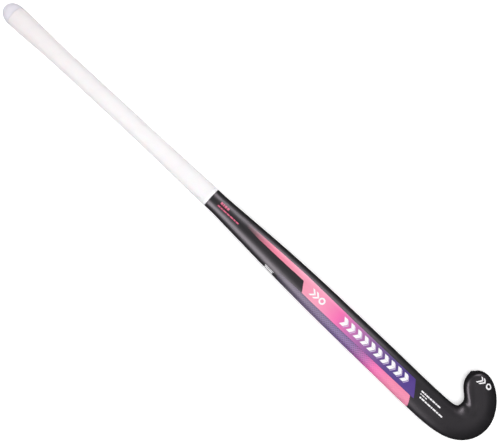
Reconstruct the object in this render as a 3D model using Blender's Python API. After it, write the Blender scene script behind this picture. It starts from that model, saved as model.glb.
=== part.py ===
"""A field hockey stick, lying face down: the flat playing side is below and the rounded back is up.

X runs from the butt of the handle to the hook, Y towards the toe, Z up. Lengths are in metres.
A station is a distance along the stick from the butt's tip. Past HOOK_START the stations are
ribs, RIB_STEP apart, which fan round the hook to the toe.
"""

import math

import bmesh
import bpy
from mathutils import Vector

# Overall size and the bow, the long curve that lifts the middle of the stick
LENGTH = 0.927
TOE_REACH = 0.0794
HEEL_REACH = 0.0342
BOW_HEIGHT = 0.024
BOW_STATION = LENGTH - 0.250
BOW_START = 0.016
BOW_STRAIGHT = 0.800
FACE_END = 0.9232
FLOOR_LIFT = 0.00003

# Finished outline of the shaft: station, reach to the heel side, reach to the toe side, height
SHAFT = (
    (0.018, 0.0153, 0.0158, 0.0308),
    (0.050, 0.0148, 0.0153, 0.0300),
    (0.088, 0.0136, 0.0140, 0.0276),
    (0.130, 0.0134, 0.0134, 0.0268),
    (0.210, 0.0136, 0.0132, 0.0266),
    (0.290, 0.0142, 0.0130, 0.0266),
    (0.350, 0.0157, 0.0130, 0.0266),
    (0.395, 0.0168, 0.0132, 0.0263),
    (0.420, 0.0169, 0.0129, 0.0261),
    (0.470, 0.0200, 0.0145, 0.0252),
    (0.530, 0.0238, 0.0164, 0.0240),
    (0.600, 0.0275, 0.0171, 0.0228),
    (0.670, 0.0300, 0.0163, 0.0219),
    (0.740, 0.0318, 0.0153, 0.0212),
    (0.795, 0.0335, 0.0141, 0.0207),
    (0.822, 0.0341, 0.0137, 0.0206),
    (0.836, 0.0342, 0.0136, 0.0205),
)

# Ribs of the hook: outer edge X and Y, inner edge X and Y, height
HOOK_START = 0.850
RIB_STEP = 0.011
HOOK = (
    (0.8500, -0.0339, 0.8500, 0.0139, 0.0204),
    (0.8650, -0.0328, 0.8590, 0.0143, 0.0203),
    (0.8826, -0.0298, 0.8647, 0.0149, 0.0202),
    (0.8992, -0.0236, 0.8691, 0.0163, 0.0200),
    (0.9126, -0.0141, 0.8714, 0.0186, 0.0198),
    (0.9218, -0.0019, 0.8724, 0.0216, 0.0196),
    (0.9266, 0.0120, 0.8727, 0.0248, 0.0195),
    (0.9268, 0.0268, 0.8723, 0.0280, 0.0194),
    (0.9226, 0.0408, 0.8703, 0.0313, 0.0192),
    (0.9136, 0.0553, 0.8664, 0.0351, 0.0190),
    (0.9008, 0.0679, 0.8615, 0.0392, 0.0187),
    (0.8863, 0.0764, 0.8563, 0.0444, 0.0184),
    (0.8730, 0.0794, 0.8521, 0.0513, 0.0179),
    (0.8615, 0.0771, 0.8507, 0.0586, 0.0160),
    (0.8550, 0.0706, 0.8512, 0.0652, 0.0098),
)
TOE_STATION = HOOK_START + RIB_STEP * (len(HOOK) - 1)

# How the section turns from an oval into a flat face with a rounded back: station, edge radius
# across as a share of the half width, edge radius upwards as a share of the half height,
# fullness of the back on the heel side and on the toe side (2 is an ellipse)
SECTION = (
    (0.410, 1.00, 1.00, 2.0, 2.0),
    (0.470, 0.82, 0.90, 2.0, 2.0),
    (0.550, 0.50, 0.74, 2.1, 2.1),
    (0.650, 0.32, 0.62, 2.2, 2.2),
    (0.800, 0.25, 0.54, 2.2, 2.3),
    (0.872, 0.22, 0.50, 2.2, 2.3),
    (0.905, 0.20, 0.48, 2.2, 2.0),
    (0.926, 0.20, 0.48, 2.2, 2.2),
    (0.948, 0.20, 0.48, 2.2, 3.4),
    (0.972, 0.24, 0.52, 2.2, 3.2),
    (1.004, 0.60, 0.70, 2.0, 2.0),
)

# The moulded shell
WALL = 0.0030
HEAD_WALL = 0.0036
SHELL_START = 0.012
CAVITY_END = HOOK_START + RIB_STEP * 12
FILL_START = 0.800

# The wrap on the handle
GAP = 0.0003
GRIP_START = 0.0208
GRIP_END = 0.4012
TAPE_END = 0.4056
BAND_THICK = 0.0018
BAND_PITCH = 0.0263
BAND_STEP_UP = 0.00015
ADHESIVE_THICK = 0.0003
WRAP_DEPTH = BAND_THICK + ADHESIVE_THICK + 3 * GAP
WRAP_TAPER = 0.372
WRAP_DEPTH_AT_TAPE = 0.0006
SKIRT_THICK = 0.0012
SKIRT_END = 0.036
SKIRT_DEPTH = BAND_THICK + SKIRT_THICK + 2 * GAP

# The butt end
DOME_LENGTH = 0.018
PLUG_START = 0.0067
PLUG_FLANGE = 0.0050
PLUG_END = 0.045
SLEEVE_SPAN = (0.052, 0.250)
SLEEVE_THICK = 0.0015
DIVIDER_SPAN = (0.270, 0.790)
DIVIDER_THICK = 0.0016

# Printed films
FILM_LIFT = 0.0003
FILM_THICK = 0.00025
SLANT = 0.3  # an edge of the artwork steeper than this gets rows SLANT_STEP apart
SLANT_STEP = 0.0022

ROUND = 28
CENTRE = Vector((LENGTH / 2, (TOE_REACH - HEEL_REACH) / 2, -FLOOR_LIFT))


def smooth(table, at):
    """The values at one station of a smooth curve through the rows of a table."""
    if at <= table[0][0]:
        return table[0][1:]
    if at >= table[-1][0]:
        return table[-1][1:]
    i = next(k for k in range(len(table) - 1) if table[k + 1][0] > at)
    start, end = table[i], table[i + 1]
    step = end[0] - start[0]
    u = (at - start[0]) / step
    values = []
    for column in range(1, len(start)):
        a = start[column]
        b = end[column]
        slope_a = slope(table, i, column) * step
        slope_b = slope(table, i + 1, column) * step
        cubic = 2 * a - 2 * b + slope_a + slope_b
        square = 3 * b - 3 * a - 2 * slope_a - slope_b
        values.append(((cubic * u + square) * u + slope_a) * u + a)
    return tuple(values)


def slope(table, i, column):
    """Slope of a column at row i, from the rows beside it."""
    before = max(i - 1, 0)
    after = min(i + 1, len(table) - 1)
    return (table[after][column] - table[before][column]) / (table[after][0] - table[before][0])


def ease(u):
    """0 to 1 with a flat start and end."""
    u = min(max(u, 0.0), 1.0)
    return u * u * (3 - 2 * u)


def face_height(x):
    """Height of the playing side above the floor: the bow, then one flat plane under the head."""
    fall = BOW_HEIGHT / ((FACE_END - BOW_STRAIGHT) + (BOW_STRAIGHT - BOW_STATION) / 2)
    if x < BOW_STATION:
        along = max(0.0, (x - BOW_START) / (BOW_STATION - BOW_START))
        return BOW_HEIGHT * math.sin(math.pi / 2 * along)
    if x < BOW_STRAIGHT:
        return BOW_HEIGHT - fall * (x - BOW_STATION) ** 2 / (2 * (BOW_STRAIGHT - BOW_STATION))
    return fall * (FACE_END - x)


def all_ribs():
    """Every rib of the stick: station, outer X and Y, inner X and Y, height."""
    shaft = [(at, at, -heel, at, toe, height) for at, heel, toe, height in SHAFT]
    hook = [(HOOK_START + RIB_STEP * k, *rib) for k, rib in enumerate(HOOK)]
    return tuple(shaft + hook)


RIBS = all_ribs()


def rib(station):
    """Outer edge, inner edge and height of the finished stick at a station."""
    outer_x, outer_y, inner_x, inner_y, height = smooth(RIBS, station)
    if station < HOOK_START:
        outer_x = station
        inner_x = station
    return Vector((outer_x, outer_y)), Vector((inner_x, inner_y)), height


def profile(station, inset):
    """Sizes of the section, moved in from the finished surface by inset."""
    outer, inner, height = rib(station)
    edge_y, edge_z, heel_power, toe_power = smooth(SECTION, station)
    width = (inner - outer).length
    corner_y = max(edge_y * width / 2 - inset, 0.0008)
    corner_z = max(edge_z * height / 2 - inset, 0.0008)
    return {
        "outer": outer,
        "across": (inner - outer).normalized(),
        "inset": inset,
        "width": width - 2 * inset,
        "height": height - 2 * inset,
        "corner_y": corner_y,
        "corner_z": corner_z,
        "powers": (heel_power, toe_power),
    }


def place(shape, v, z):
    """A point of a section in space: v across from its outer edge, z up from its flat side."""
    flat = shape["outer"] + shape["across"] * (v + shape["inset"])
    height = face_height(flat.x) + shape["inset"] + z
    return Vector((flat.x, flat.y, height)) - CENTRE


def skin(shape, q):
    """A point round the section. q 0 to 1 is the back from the toe side to the heel side, then come
    the heel edge up to 1.25, the flat side up to 1.75, and the toe edge up to 2."""
    width = shape["width"]
    corner_y = shape["corner_y"]
    corner_z = shape["corner_z"]
    if q <= 1:
        turn = math.cos(math.pi * q)
        power = shape["powers"][0] if turn < 0 else shape["powers"][1]
        v = width / 2 + math.copysign(abs(turn) ** (2 / power), turn) * width / 2
        rise = math.sin(math.pi * q) ** (2 / power)
        return place(shape, v, corner_z + rise * (shape["height"] - corner_z))
    if q <= 1.25:
        turn = (q - 1) * 2 * math.pi
        return place(shape, corner_y * (1 - math.cos(turn)), corner_z * (1 - math.sin(turn)))
    if q <= 1.75:
        return place(shape, corner_y + (width - 2 * corner_y) * (q - 1.25) * 2, 0)
    turn = (2 - q) * 2 * math.pi
    return place(shape, width - corner_y * (1 - math.cos(turn)), corner_z * (1 - math.sin(turn)))


def ring(station, inset, count=ROUND):
    """Points evenly spaced round the section, starting at the top of the back."""
    shape = profile(station, inset)
    fine = 240
    points = [skin(shape, (0.5 + 2 * k / fine) % 2) for k in range(fine + 1)]
    along = [0.0]
    for a, b in zip(points, points[1:]):
        along.append(along[-1] + (b - a).length)
    even = []
    k = 0
    for step in range(count):
        goal = along[-1] * step / count
        while along[k + 1] < goal:
            k += 1
        share = (goal - along[k]) / (along[k + 1] - along[k])
        even.append(points[k].lerp(points[k + 1], share))
    return even


def wrap_depth(station):
    """How far the bare shell lies below the finished surface, under the cap's skirt and the grip."""
    if station > TAPE_END + GAP:
        return 0.0
    if station < SKIRT_END + GAP:
        return SKIRT_DEPTH
    taper = ease((station - WRAP_TAPER) / (TAPE_END - WRAP_TAPER))
    return WRAP_DEPTH + (WRAP_DEPTH_AT_TAPE - WRAP_DEPTH) * taper


def cavity_depth(station):
    """How far the shell's inside lies below the finished surface."""
    wall = WALL + (HEAD_WALL - WALL) * ease((station - 0.70) / 0.15)
    return max(wrap_depth(station), 0.0 if station > TAPE_END else WRAP_DEPTH) + wall


def spaced(start, end, step):
    """Stations from start to end, about step apart."""
    count = max(1, round((end - start) / step))
    return [start + (end - start) * k / count for k in range(count + 1)]


def new_object(name, mesh_data, colour, roughness, metallic=0.0):
    """Turn a bmesh into an object with its own material."""
    bmesh.ops.recalc_face_normals(mesh_data, faces=mesh_data.faces)
    mesh = bpy.data.meshes.new(name)
    mesh_data.to_mesh(mesh)
    mesh_data.free()
    mesh.shade_smooth()
    mesh.set_sharp_from_angle(angle=math.radians(40))
    material = bpy.data.materials.new(name)
    material.use_nodes = True
    shader = material.node_tree.nodes["Principled BSDF"]
    shader.inputs["Base Color"].default_value = (*colour, 1.0)
    shader.inputs["Roughness"].default_value = roughness
    shader.inputs["Metallic"].default_value = metallic
    mesh.materials.append(material)
    item = bpy.data.objects.new(name, mesh)
    bpy.context.scene.collection.objects.link(item)
    return item


def add_rings(mesh_data, rings):
    """Join rings of points into a tube and return the rings' vertices."""
    rows = [[mesh_data.verts.new(p) for p in points] for points in rings]
    for a, b in zip(rows, rows[1:]):
        for i in range(len(a)):
            j = (i + 1) % len(a)
            mesh_data.faces.new((a[i], a[j], b[j], b[i]))
    return rows


def close_ring(mesh_data, row):
    """Close a ring with triangles round its middle."""
    middle = sum((v.co for v in row), Vector()) / len(row)
    hub = mesh_data.verts.new(middle)
    for i in range(len(row)):
        mesh_data.faces.new((row[i], row[(i + 1) % len(row)], hub))


def solid_of_rings(name, rings, colour, roughness):
    """A solid bar through rings of points, closed at both ends."""
    mesh_data = bmesh.new()
    rows = add_rings(mesh_data, rings)
    close_ring(mesh_data, rows[0])
    close_ring(mesh_data, rows[-1])
    return new_object(name, mesh_data, colour, roughness)


def pipe_of_rings(name, outside, inside, colour, roughness):
    """A pipe, open at both ends: its outside rings, then its inside rings."""
    mesh_data = bmesh.new()
    add_rings(mesh_data, outside + inside[::-1] + outside[:1])
    bmesh.ops.remove_doubles(mesh_data, verts=mesh_data.verts, dist=1e-7)
    return new_object(name, mesh_data, colour, roughness)


def cup_of_rings(name, outside, inside, colour, roughness):
    """A body with one mouth, where the first rings of its outside and its inside meet."""
    mesh_data = bmesh.new()
    rows = add_rings(mesh_data, outside[::-1] + inside)
    close_ring(mesh_data, rows[0])
    close_ring(mesh_data, rows[-1])
    return new_object(name, mesh_data, colour, roughness)


def build_shell():
    """The moulded body of the stick, hollow from its open butt end to the toe."""
    stations = [SHELL_START, SKIRT_END, SKIRT_END + 2 * GAP]
    stations += spaced(0.050, WRAP_TAPER, 0.023)
    stations += spaced(WRAP_TAPER + 0.008, TAPE_END, 0.009)
    stations += [TAPE_END + 2 * GAP]
    stations += spaced(0.420, HOOK_START - 0.014, 0.016)
    stations += spaced(HOOK_START, TOE_STATION, RIB_STEP / 2)
    outside = [ring(at, wrap_depth(at)) for at in stations]
    hollow = [SHELL_START] + spaced(0.045, 0.785, 0.030) + spaced(0.800, CAVITY_END, RIB_STEP)
    inside = [ring(at, cavity_depth(at)) for at in hollow]
    cup_of_rings("composite_shell", outside, inside, (0.035, 0.035, 0.040), 0.42)


def build_head_core():
    """The rigid foam that fills the hook."""
    stations = spaced(FILL_START + RIB_STEP, CAVITY_END - RIB_STEP / 2, RIB_STEP)
    rings = [ring(at, cavity_depth(at) + 2 * GAP, 20) for at in stations]
    solid_of_rings("head_core", rings, (0.80, 0.74, 0.55), 0.9)


def build_divider():
    """The upright rib inside the shaft, from the playing side to the back."""
    rings = []
    for at in spaced(*DIVIDER_SPAN, 0.026):
        shape = profile(at, cavity_depth(at) + 2 * GAP)
        middle = shape["width"] / 2
        low = middle - DIVIDER_THICK / 2
        high = middle + DIVIDER_THICK / 2
        top = shape["height"] - GAP
        corners = ((low, GAP), (high, GAP), (high, top), (low, top))
        rings.append([place(shape, v, z) for v, z in corners])
    solid_of_rings("shaft_divider", rings, (0.08, 0.08, 0.085), 0.6)


def build_sleeve():
    """The soft liner inside the handle."""
    stations = spaced(*SLEEVE_SPAN, 0.028)
    outside = [ring(at, cavity_depth(at) + GAP, 20) for at in stations]
    inside = [ring(at, cavity_depth(at) + GAP + SLEEVE_THICK, 20) for at in stations]
    pipe_of_rings("damping_sleeve", outside, inside, (0.45, 0.60, 0.68), 0.5)


def build_plug():
    """The plug in the butt end: a flange on the shell's rim and a spigot inside it."""
    flange_end = PLUG_START + PLUG_FLANGE
    rings = [
        ring(PLUG_START, SKIRT_DEPTH + GAP),
        ring(flange_end, SKIRT_DEPTH + GAP),
        ring(flange_end, cavity_depth(SHELL_START) + GAP),
        ring(PLUG_END, cavity_depth(SHELL_START) + 4 * GAP),
    ]
    for points, at in zip(rings, (PLUG_START, flange_end, flange_end, PLUG_END)):
        for point in points:
            point.x = at - CENTRE.x
    solid_of_rings("handle_plug", rings, (0.10, 0.10, 0.11), 0.6)


def build_cap():
    """The rubber end cap: a dome, a collar flush with the grip, and a skirt under the grip."""
    outside = [ring(SKIRT_END, BAND_THICK + GAP), ring(GRIP_START, BAND_THICK + GAP)]
    outside += [ring(GRIP_START - 2 * GAP, 0.0), ring(DOME_LENGTH, 0.0)]
    full = ring(DOME_LENGTH, 0.0)
    middle = sum(full, Vector()) / len(full)
    for k in range(1, 7):
        turn = math.radians(90 - 13.5 * k)
        dome = [middle + (p - middle) * math.sin(turn) for p in full]
        for point in dome:
            point.x = DOME_LENGTH * (1 - math.cos(turn)) - CENTRE.x
        outside.append(dome)
    pocket = BAND_THICK + GAP + SKIRT_THICK
    inside = [ring(SKIRT_END, pocket), ring(PLUG_START - GAP, pocket)]
    for point in inside[1]:
        point.x = PLUG_START - GAP - CENTRE.x
    cup_of_rings("butt_cap", outside, inside, (0.74, 0.72, 0.83), 0.38)


def build_adhesive():
    """The double-sided tape that the grip band sticks to."""
    stations = spaced(SKIRT_END + 3 * GAP, WRAP_TAPER, 0.024)
    outside = [ring(at, BAND_THICK + GAP, 24) for at in stations]
    inside = [ring(at, BAND_THICK + GAP + ADHESIVE_THICK, 24) for at in stations]
    pipe_of_rings("adhesive_tape", outside, inside, (0.83, 0.78, 0.64), 0.7)


def handle_point(station, turn, inset):
    """A point on the oval handle at an angle round it."""
    shape = profile(station, inset)
    v = shape["width"] / 2 * (1 - math.cos(turn))
    z = shape["height"] / 2 * (1 + math.sin(turn))
    return place(shape, v, z)


def build_grip():
    """The grip band, one strip wound in a spiral, each turn a little proud of the last one's edge."""
    steps = 24
    sliver = 2
    turns = (GRIP_END - GRIP_START) / BAND_PITCH + 1
    rings = []
    for k in range(sliver, math.floor(turns * steps) - sliver):
        turn = 2 * math.pi * k / steps
        edge = GRIP_START + BAND_PITCH * k / steps
        left = max(GRIP_START, edge - BAND_PITCH + GAP)
        right = min(edge, GRIP_END)
        under_left = min(BAND_THICK, wrap_depth(max(left, SKIRT_END + 2 * GAP)) - GAP)
        under_right = min(BAND_THICK, wrap_depth(max(right, SKIRT_END + 2 * GAP)) - GAP)
        rings.append([
            handle_point(left, turn, under_left),
            handle_point(right, turn, under_right),
            handle_point(right, turn, BAND_STEP_UP),
            handle_point(left, turn, 0.0),
        ])
    solid_of_rings("grip_band", rings, (0.93, 0.91, 0.92), 0.6)


def build_finishing_tape():
    """The narrow tape that holds down the lower end of the grip."""
    stations = [GRIP_END + GAP, (GRIP_END + TAPE_END) / 2, TAPE_END]
    outside = [ring(at, 0.0, 32) for at in stations]
    inside = [ring(at, wrap_depth(at) - GAP, 32) for at in stations]
    pipe_of_rings("finishing_tape", outside, inside, (0.95, 0.94, 0.95), 0.45)


def round_at(station, y):
    """The q of the place on the back that lies y from the handle's axis, seen from above."""
    shape = profile(station, 0.0)
    half = shape["width"] / 2
    v = (y - shape["outer"].y - half) / half
    power = shape["powers"][0] if v < 0 else shape["powers"][1]
    turn = math.copysign(min(abs(v), 1.0) ** (power / 2), v)
    return math.acos(turn) / math.pi


def lifted(station, q, lift):
    """A point of the finished surface, moved out along the surface's normal."""
    near = 0.0005
    shape = profile(station, 0.0)
    point = skin(shape, q)
    along = skin(profile(station + near, 0.0), q) - skin(profile(station - near, 0.0), q)
    around = skin(shape, q + near) - skin(shape, q - near)
    return point + around.cross(along).normalized() * lift


def build_film(name, rows, columns, colour):
    """A thin film on the surface. A row is a station and the q of the film's two edges there."""
    mesh_data = bmesh.new()
    layers = []
    for lift in (FILM_LIFT, FILM_LIFT + FILM_THICK):
        layer = []
        for at, start, end in rows:
            spots = [start + (end - start) * c / columns for c in range(columns + 1)]
            layer.append([mesh_data.verts.new(lifted(at, q, lift)) for q in spots])
        layers.append(layer)
    last = len(rows) - 1
    for layer in layers:
        for a, b in zip(layer, layer[1:]):
            for c in range(columns):
                mesh_data.faces.new((a[c], a[c + 1], b[c + 1], b[c]))
    low, high = layers
    for r in range(last):
        for c in (0, columns):
            mesh_data.faces.new((low[r][c], low[r + 1][c], high[r + 1][c], high[r][c]))
    for c in range(columns):
        for r in (0, last):
            mesh_data.faces.new((low[r][c], low[r][c + 1], high[r][c + 1], high[r][c]))
    return new_object(name, mesh_data, colour, 0.35)


def between(table, at):
    """Straight lines through the rows of a table."""
    for a, b in zip(table, table[1:]):
        if at <= b[0]:
            share = (at - a[0]) / (b[0] - a[0])
            return a[1] + (b[1] - a[1]) * share
    return table[-1][1]


def strip_rows(start, end, step, low_edge, high_edge):
    """Rows of a film on the back between two edges, each given as (station, y) corners."""
    stations = set(spaced(start, end, step))
    for edge in (low_edge, high_edge):
        for a, b in zip(edge, edge[1:]):
            slant = abs(b[1] - a[1]) > SLANT * (b[0] - a[0])
            stops = spaced(a[0], b[0], SLANT_STEP if slant else step)
            stations.update(at for at in stops if start < at < end)
    rows = []
    for at in sorted(stations):
        rows.append((at, round_at(at, between(high_edge, at)), round_at(at, between(low_edge, at))))
    return rows


# Edges of the artwork on the back, as (station, y)
PANEL_TOP = ((0.470, 0.0068), (0.580, 0.0086), (0.672, 0.0061), (0.7916, 0.0041), (0.8084, -0.0176))
PANEL_LOW = ((0.470, 0.0), (0.5801, -0.0002), (0.590, -0.0144), (0.740, -0.0170), (0.8084, -0.0179))
BAND_TOP = ((0.560, -0.0138), (0.590, -0.0153), (0.740, -0.0178), (0.8010, -0.0189))


def build_back_films():
    """The printed films on the back of the shaft and of the toe."""
    pink = (0.95, 0.20, 0.45)
    white = (0.90, 0.90, 0.92)
    panel = strip_rows(0.470, 0.8072, 0.022, PANEL_LOW, PANEL_TOP)
    build_film("back_panel_film", panel, 6, pink)
    band = [(at, round_at(at, between(BAND_TOP, at)), 1.06) for at in spaced(0.560, 0.802, 0.022)]
    build_film("heel_band_film", band, 5, (0.45, 0.12, 0.50))
    spec_top = ((0.8095, -0.0015), (0.8600, -0.0015))
    spec_low = ((0.8095, -0.0132), (0.8600, -0.0132))
    build_film("spec_film", strip_rows(0.8095, 0.8600, 0.010, spec_low, spec_top), 3, white)
    model_top = ((0.4190, 0.0045), (0.4640, 0.0045))
    model_low = ((0.4190, -0.0062), (0.4640, -0.0062))
    build_film("model_film", strip_rows(0.4190, 0.4640, 0.010, model_low, model_top), 3, pink)
    toe = [(HOOK_START + RIB_STEP * k, 0.40, 0.74) for k in (10.0, 10.5, 11.0, 11.5, 12.0, 12.5)]
    build_film("toe_emblem_film", toe, 6, white)


def build_side_film():
    """The small mark on the heel side edge."""
    rows = [(at, 0.80, 0.94) for at in spaced(0.525, 0.543, 0.009)]
    build_film("edge_mark_film", rows, 2, (0.90, 0.90, 0.92))


def build_face_films():
    """The printed films on the flat playing side."""
    panel = [(at, 1.36, 1.64) for at in spaced(0.600, 0.800, 0.025)]
    build_film("face_panel_film", panel, 2, (0.30, 0.12, 0.55))
    band = [(at, 1.19, 1.33) for at in spaced(0.560, 0.790, 0.023)]
    build_film("face_band_film", band, 3, (0.95, 0.20, 0.45))


def clear_scene():
    for item in list(bpy.data.objects):
        bpy.data.objects.remove(item, do_unlink=True)


def main():
    clear_scene()
    build_shell()
    build_head_core()
    build_divider()
    build_sleeve()
    build_plug()
    build_cap()
    build_adhesive()
    build_grip()
    build_finishing_tape()
    build_back_films()
    build_side_film()
    build_face_films()


main()
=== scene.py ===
import math

import bmesh
import bpy
import numpy as np
from mathutils import Matrix, Vector


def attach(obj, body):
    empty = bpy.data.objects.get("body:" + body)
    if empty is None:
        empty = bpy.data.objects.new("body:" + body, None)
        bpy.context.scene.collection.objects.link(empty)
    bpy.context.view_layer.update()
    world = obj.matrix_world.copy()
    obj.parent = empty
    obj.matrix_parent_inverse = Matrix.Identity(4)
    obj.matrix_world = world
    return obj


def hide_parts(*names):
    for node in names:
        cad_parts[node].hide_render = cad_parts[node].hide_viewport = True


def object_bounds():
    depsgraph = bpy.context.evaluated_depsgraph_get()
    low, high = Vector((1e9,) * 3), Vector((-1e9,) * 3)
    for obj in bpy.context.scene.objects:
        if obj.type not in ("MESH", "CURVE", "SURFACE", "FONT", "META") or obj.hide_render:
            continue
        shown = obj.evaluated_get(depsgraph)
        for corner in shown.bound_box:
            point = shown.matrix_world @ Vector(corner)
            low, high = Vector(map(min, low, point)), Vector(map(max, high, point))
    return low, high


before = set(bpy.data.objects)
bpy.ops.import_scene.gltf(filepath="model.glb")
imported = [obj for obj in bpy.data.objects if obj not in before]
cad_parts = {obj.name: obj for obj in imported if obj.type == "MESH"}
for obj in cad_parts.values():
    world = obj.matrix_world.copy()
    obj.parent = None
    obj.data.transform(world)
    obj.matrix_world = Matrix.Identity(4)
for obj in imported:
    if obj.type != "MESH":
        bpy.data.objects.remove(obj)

CAD_LOW, CAD_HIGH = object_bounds()

# ---------------------------------------------------------------- the stick's shape
# A station is a distance along the stick from the butt's tip. Past HOOK_START the stations are
# ribs, RIB_STEP apart, which fan round the hook to the toe.
LENGTH = CAD_HIGH.x - CAD_LOW.x
HEEL_REACH = 0.0342
BUTT = Vector((CAD_LOW.x, CAD_LOW.y + HEEL_REACH, CAD_LOW.z))
BOW_HEIGHT = 0.024
BOW_STATION = LENGTH - 0.250
BOW_START = 0.016
BOW_STRAIGHT = 0.800
FACE_END = 0.9232

# Finished outline of the shaft: station, reach to the heel side, reach to the toe side, height
SHAFT = (
    (0.018, 0.0153, 0.0158, 0.0308),
    (0.050, 0.0148, 0.0153, 0.0300),
    (0.088, 0.0136, 0.0140, 0.0276),
    (0.130, 0.0134, 0.0134, 0.0268),
    (0.210, 0.0136, 0.0132, 0.0266),
    (0.290, 0.0142, 0.0130, 0.0266),
    (0.350, 0.0157, 0.0130, 0.0266),
    (0.395, 0.0168, 0.0132, 0.0263),
    (0.420, 0.0169, 0.0129, 0.0261),
    (0.470, 0.0200, 0.0145, 0.0252),
    (0.530, 0.0238, 0.0164, 0.0240),
    (0.600, 0.0275, 0.0171, 0.0228),
    (0.670, 0.0300, 0.0163, 0.0219),
    (0.740, 0.0318, 0.0153, 0.0212),
    (0.795, 0.0335, 0.0141, 0.0207),
    (0.822, 0.0341, 0.0137, 0.0206),
    (0.836, 0.0342, 0.0136, 0.0205),
)
# Ribs of the hook: outer edge X and Y, inner edge X and Y, height
HOOK_START = 0.850
RIB_STEP = 0.011
HOOK = (
    (0.8500, -0.0339, 0.8500, 0.0139, 0.0204),
    (0.8650, -0.0328, 0.8590, 0.0143, 0.0203),
    (0.8826, -0.0298, 0.8647, 0.0149, 0.0202),
    (0.8992, -0.0236, 0.8691, 0.0163, 0.0200),
    (0.9126, -0.0141, 0.8714, 0.0186, 0.0198),
    (0.9218, -0.0019, 0.8724, 0.0216, 0.0196),
    (0.9266, 0.0120, 0.8727, 0.0248, 0.0195),
    (0.9268, 0.0268, 0.8723, 0.0280, 0.0194),
    (0.9226, 0.0408, 0.8703, 0.0313, 0.0192),
    (0.9136, 0.0553, 0.8664, 0.0351, 0.0190),
    (0.9008, 0.0679, 0.8615, 0.0392, 0.0187),
    (0.8863, 0.0764, 0.8563, 0.0444, 0.0184),
    (0.8730, 0.0794, 0.8521, 0.0513, 0.0179),
    (0.8615, 0.0771, 0.8507, 0.0586, 0.0160),
    (0.8550, 0.0706, 0.8512, 0.0652, 0.0098),
)
TOE_STATION = HOOK_START + RIB_STEP * (len(HOOK) - 1)

# How the section turns from an oval into a flat face with a rounded back: station, edge radius
# across as a share of the half width, edge radius upwards as a share of the half height,
# fullness of the back on the heel side and on the toe side (2 is an ellipse)
SECTION = (
    (0.410, 1.00, 1.00, 2.0, 2.0),
    (0.470, 0.82, 0.90, 2.0, 2.0),
    (0.550, 0.50, 0.74, 2.1, 2.1),
    (0.650, 0.32, 0.62, 2.2, 2.2),
    (0.800, 0.25, 0.54, 2.2, 2.3),
    (0.872, 0.22, 0.50, 2.2, 2.3),
    (0.905, 0.20, 0.48, 2.2, 2.0),
    (0.926, 0.20, 0.48, 2.2, 2.2),
    (0.948, 0.20, 0.48, 2.2, 3.4),
    (0.972, 0.24, 0.52, 2.2, 3.2),
    (1.004, 0.60, 0.70, 2.0, 2.0),
)
SMALLEST_EDGE = 0.0008


def smooth(table, at):
    """The values at each station of smooth curves through the rows of a table, one row each."""
    rows = np.array(table, float)
    knots = rows[:, 0]
    values = rows[:, 1:]
    at = np.clip(np.asarray(at, float), knots[0], knots[-1])
    before = np.maximum(np.arange(len(rows)) - 1, 0)
    after = np.minimum(np.arange(len(rows)) + 1, len(rows) - 1)
    slopes = (values[after] - values[before]) / (knots[after] - knots[before])[:, None]
    i = np.clip(np.searchsorted(knots, at, side="right") - 1, 0, len(rows) - 2)
    step = (knots[i + 1] - knots[i])[:, None]
    u = (at[:, None] - knots[i][:, None]) / step
    a = values[i]
    b = values[i + 1]
    slope_a = slopes[i] * step
    slope_b = slopes[i + 1] * step
    cubic = 2 * a - 2 * b + slope_a + slope_b
    square = 3 * b - 3 * a - 2 * slope_a - slope_b
    return ((cubic * u + square) * u + slope_a) * u + a


def ease(u):
    """0 to 1 with a flat start and end."""
    u = np.clip(u, 0.0, 1.0)
    return u * u * (3 - 2 * u)


FALL = BOW_HEIGHT / ((FACE_END - BOW_STRAIGHT) + (BOW_STRAIGHT - BOW_STATION) / 2)


def face_height(x):
    """Height of the playing side above the floor: the bow, then one flat plane under the head."""
    along = np.clip((x - BOW_START) / (BOW_STATION - BOW_START), 0.0, 1.0)
    rise = BOW_HEIGHT * np.sin(math.pi / 2 * along)
    over = (x - BOW_STATION) ** 2 / (2 * (BOW_STRAIGHT - BOW_STATION))
    crest = np.where(x < BOW_STRAIGHT, BOW_HEIGHT - FALL * over, FALL * (FACE_END - x))
    return np.where(x < BOW_STATION, rise, crest)


def all_ribs():
    """Every rib of the stick: station, outer X and Y, inner X and Y, height."""
    shaft = [(at, at, -heel, at, toe, height) for at, heel, toe, height in SHAFT]
    hook = [(HOOK_START + RIB_STEP * k, *rib) for k, rib in enumerate(HOOK)]
    return shaft + hook


RIBS = all_ribs()


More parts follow.
